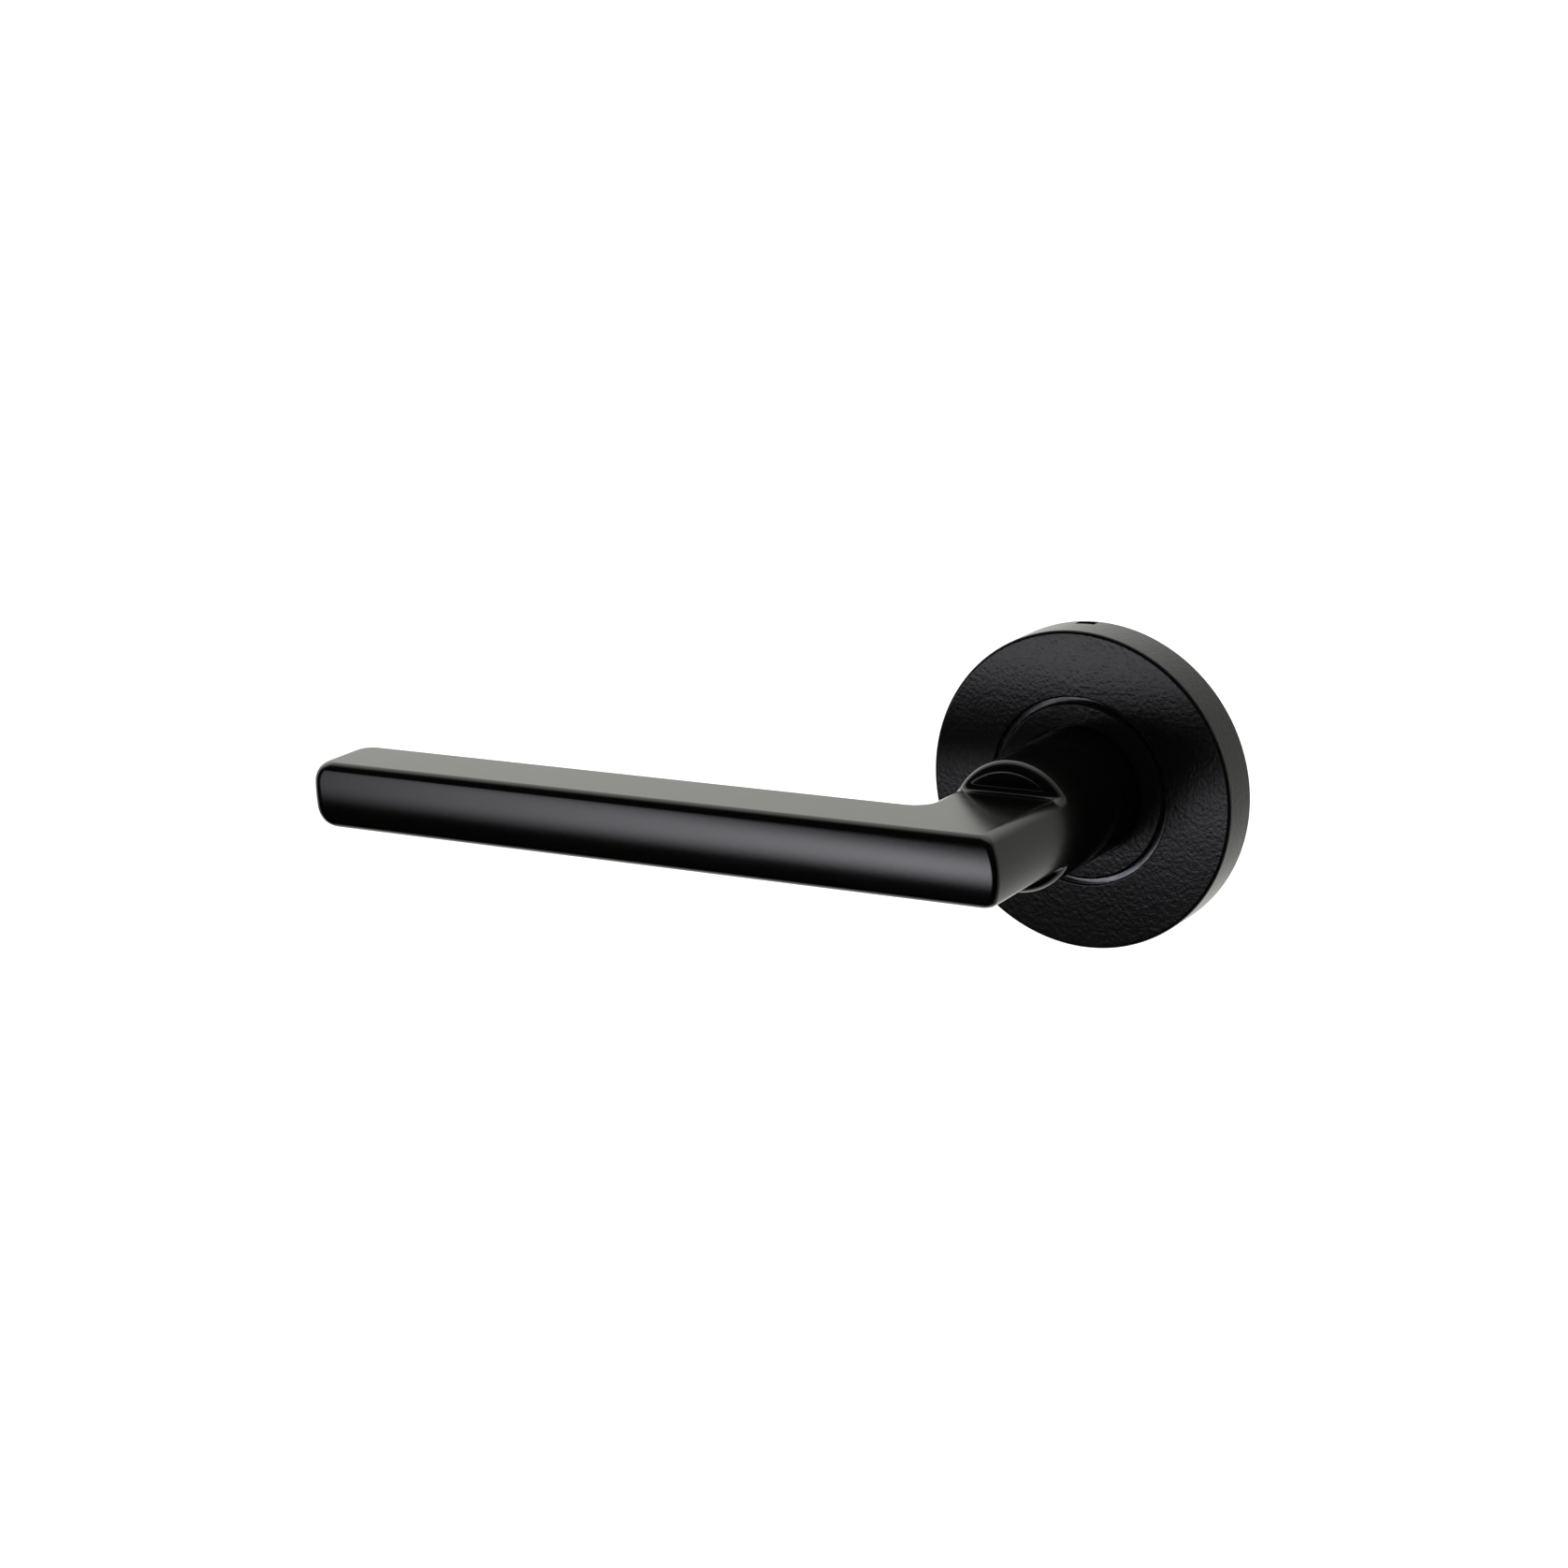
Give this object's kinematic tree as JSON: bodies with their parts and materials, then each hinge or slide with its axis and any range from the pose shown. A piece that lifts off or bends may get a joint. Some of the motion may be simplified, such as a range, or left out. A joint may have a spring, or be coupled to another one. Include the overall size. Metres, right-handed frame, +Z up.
{
  "type": "lever handle on rose",
  "caption": "Sprung door lever on a round rose: square-edged lever on a round neck, push-on cover, spring cassette, square spindle and fixings.",
  "frame": {"origin": "where the spindle axis meets the door face, on the back plane of the rose", "axes": "+X to the right seen from the front, +Y into the door along the spindle, +Z up; the lever points to -X"},
  "size_m": [0.1455, 0.082, 0.052],
  "materials": {
    "black_coat": "satin black powder coat with a fine orange-peel texture",
    "black_oxide": "black oxide",
    "zinc_plated_steel": "bright zinc plate",
    "spring_steel": "oiled spring wire",
    "zinc_casting": "as-cast zinc alloy",
    "nylon": "natural moulded nylon"
  },
  "bodies": {
    "rose_base": {"base_plate": "zinc_casting", "cassette_lid": "zinc_plated_steel", "lid_screw_left": "zinc_plated_steel", "lid_screw_right": "zinc_plated_steel", "wood_screw_upper": "zinc_plated_steel", "wood_screw_lower": "zinc_plated_steel", "bolt_post_top": "zinc_plated_steel", "bolt_post_bottom": "zinc_plated_steel", "bearing_bush": "nylon", "return_spring_left": "spring_steel", "return_spring_right": "spring_steel", "cover_snap_ring": "spring_steel"},
    "lever": {"lever_handle": "black_coat", "neck_collar": "black_coat", "grub_screw": "black_oxide", "spindle": "zinc_plated_steel", "driver_cam": "zinc_plated_steel", "thrust_washer": "nylon", "retaining_ring": "spring_steel"},
    "cover": {"rose_cover": "black_coat"}
  },
  "joints": [
    {"name": "lever_turn", "type": "hinge", "parent": "rose_base", "child": "lever", "pos_m": [0, 0, 0], "axis": [0, -1, 0], "range_deg": [-45, 45], "stiffness_Nm_per_rad": 1.6, "springref_deg": -2.58, "deforming": ["return_spring_right", "return_spring_left"]},
    {"name": "cover_slide", "type": "slide", "parent": "rose_base", "child": "cover", "axis": [0, -1, 0], "range_m": [0, 0.02]}
  ]
}
